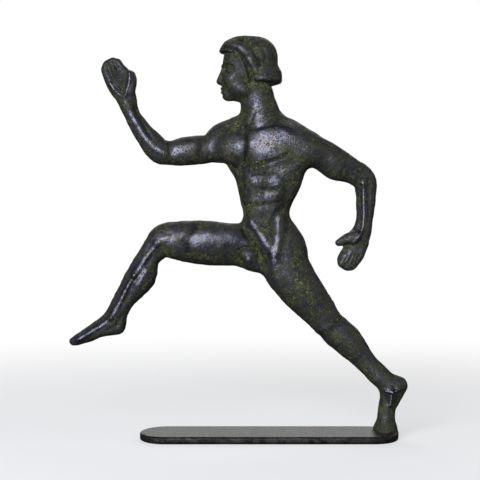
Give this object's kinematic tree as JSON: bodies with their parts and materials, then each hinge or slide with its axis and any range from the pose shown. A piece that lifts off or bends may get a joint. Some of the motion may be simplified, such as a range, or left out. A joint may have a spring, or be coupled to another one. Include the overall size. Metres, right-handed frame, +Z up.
{
  "type": "bronze athlete statuette",
  "caption": "Cast bronze statuette of a running athlete on a thin flat base with rounded ends, for standing on a shelf or desk.",
  "frame": {"origin": "centre of the base's underside", "axes": "+Z up, +X along the base towards the foot that carries the figure, the chest faces -Y"},
  "size_m": [0.1424, 0.026, 0.1698],
  "materials": {
    "bronze": "cast bronze with a dark green-black patina, yellow-green in the hollows and rubbed to a satin grey sheen on the raised forms"
  },
  "bodies": {
    "root": {"athlete_and_base": "bronze"}
  },
  "joints": []
}
